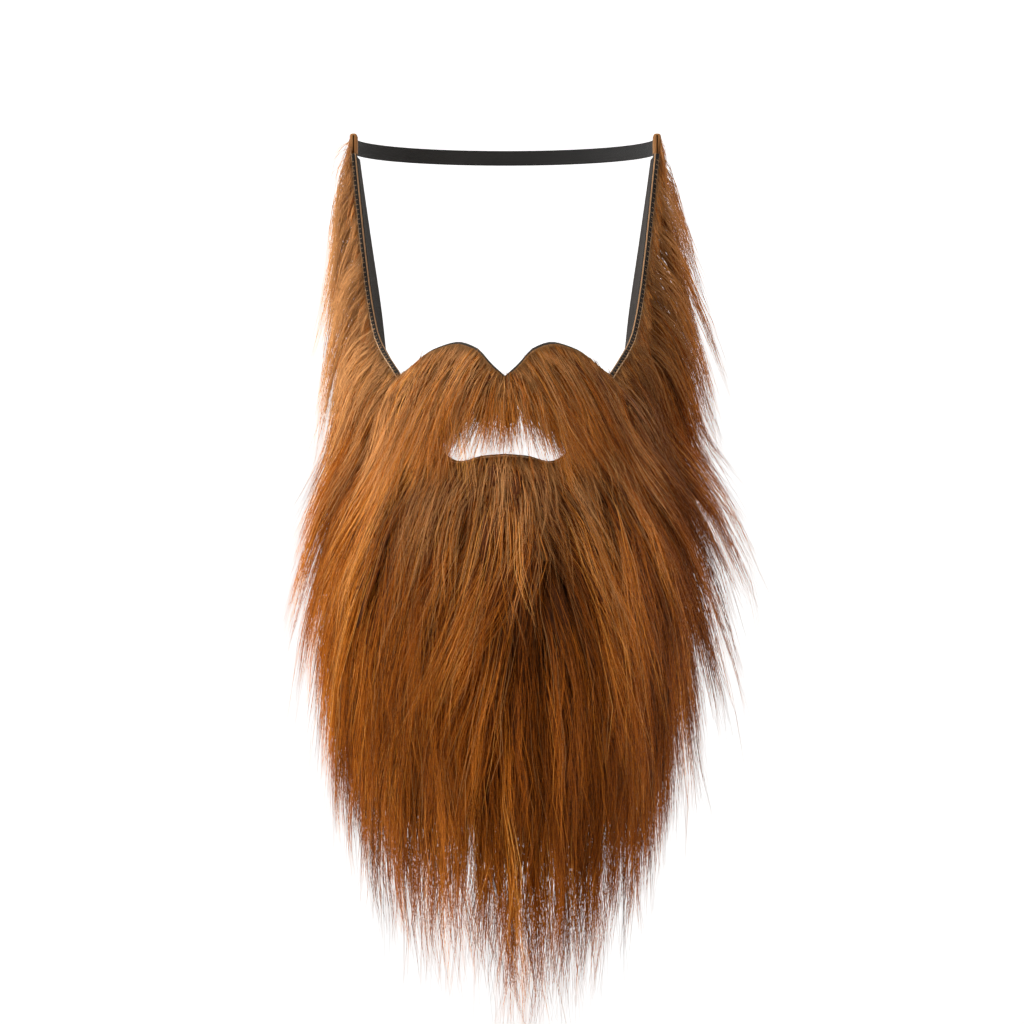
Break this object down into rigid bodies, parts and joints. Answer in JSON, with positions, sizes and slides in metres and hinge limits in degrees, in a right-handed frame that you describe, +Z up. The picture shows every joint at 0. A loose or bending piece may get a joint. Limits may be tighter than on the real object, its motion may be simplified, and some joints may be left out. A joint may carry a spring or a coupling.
{
  "type": "fake beard",
  "caption": "Long ginger false beard with a moustache, worn over the chin and cheeks and held by an elastic strap behind the head.",
  "frame": {"origin": "the point of the chin, on the inner face of the lining, where the wearer's chin sits", "axes": "+Z up, the wearer faces -Y, +X is the wearer's left"},
  "size_m": [0.2478, 0.2251, 0.4575],
  "materials": {
    "ginger_pile": "long soft pile",
    "dark_lining": "matt knit",
    "tan_hem": "matt, stitched",
    "black_elastic": "ribbed elastic"
  },
  "bodies": {
    "root": {"beard_lining": "dark_lining", "beard_fur": "ginger_pile", "moustache_lining": "dark_lining", "moustache_fur": "ginger_pile", "face_edge_hem": "tan_hem", "strap_tab_left": "tan_hem", "strap_tab_right": "tan_hem", "elastic_strap": "black_elastic"}
  },
  "joints": []
}
